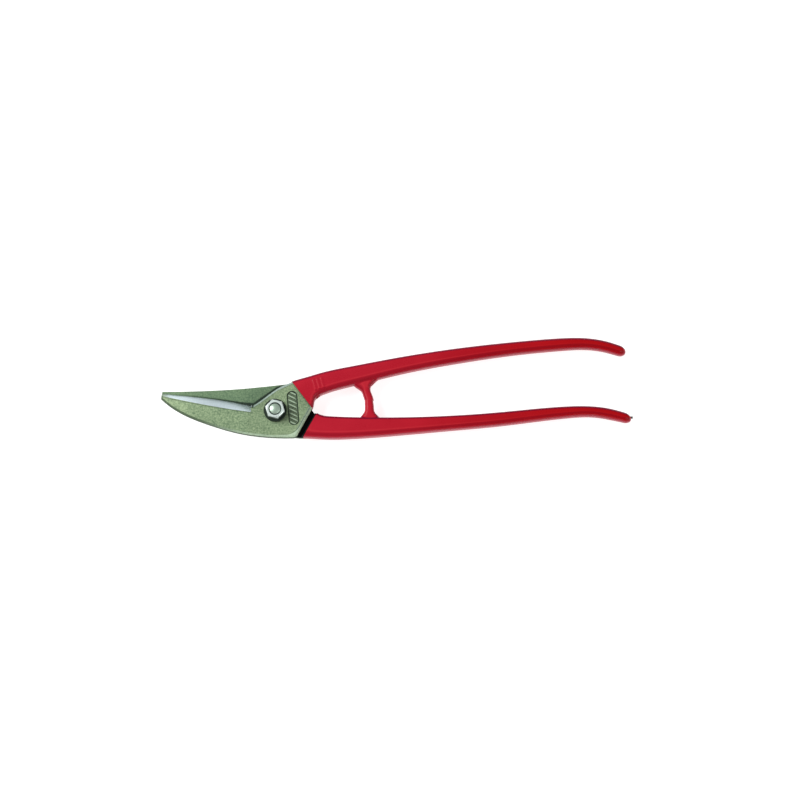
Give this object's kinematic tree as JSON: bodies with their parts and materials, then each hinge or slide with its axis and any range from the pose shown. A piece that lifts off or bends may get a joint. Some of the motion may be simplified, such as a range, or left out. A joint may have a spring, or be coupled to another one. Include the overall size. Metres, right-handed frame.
{
  "type": "tinner's snips",
  "caption": "Straight-jawed tinner's snips with a bolted lap pivot, ground blades, curved dip-coated handles and meeting stop struts.",
  "frame": {"origin": "on the pivot axis, at the flat outer face of the bolt head", "axes": "+X towards the handle ends, +Y towards the upper handle, +Z along the pivot from the bolt head to the nut"},
  "size_m": [0.275, 0.0595, 0.02],
  "materials": {
    "head_steel": "fine-ground forged steel under an olive clear lacquer, with bare ground cutting bevels",
    "red_coat": "semi-gloss red dip coating",
    "fastener_steel": "satin zinc-plated steel",
    "plated_nut": "bright plated steel",
    "dark_washer": "black phosphated steel"
  },
  "bodies": {
    "rear_body": {"rear_half": "head_steel", "lower_grip": "red_coat", "pivot_bolt": "fastener_steel", "pivot_nut": "plated_nut", "pivot_washer": "dark_washer"},
    "front_body": {"front_half": "head_steel", "upper_grip": "red_coat"}
  },
  "joints": [
    {"name": "pivot", "type": "hinge", "parent": "rear_body", "child": "front_body", "pos_m": [0, 0, 0.0105], "axis": [0, 0, 1], "range_deg": [0, 30]}
  ]
}
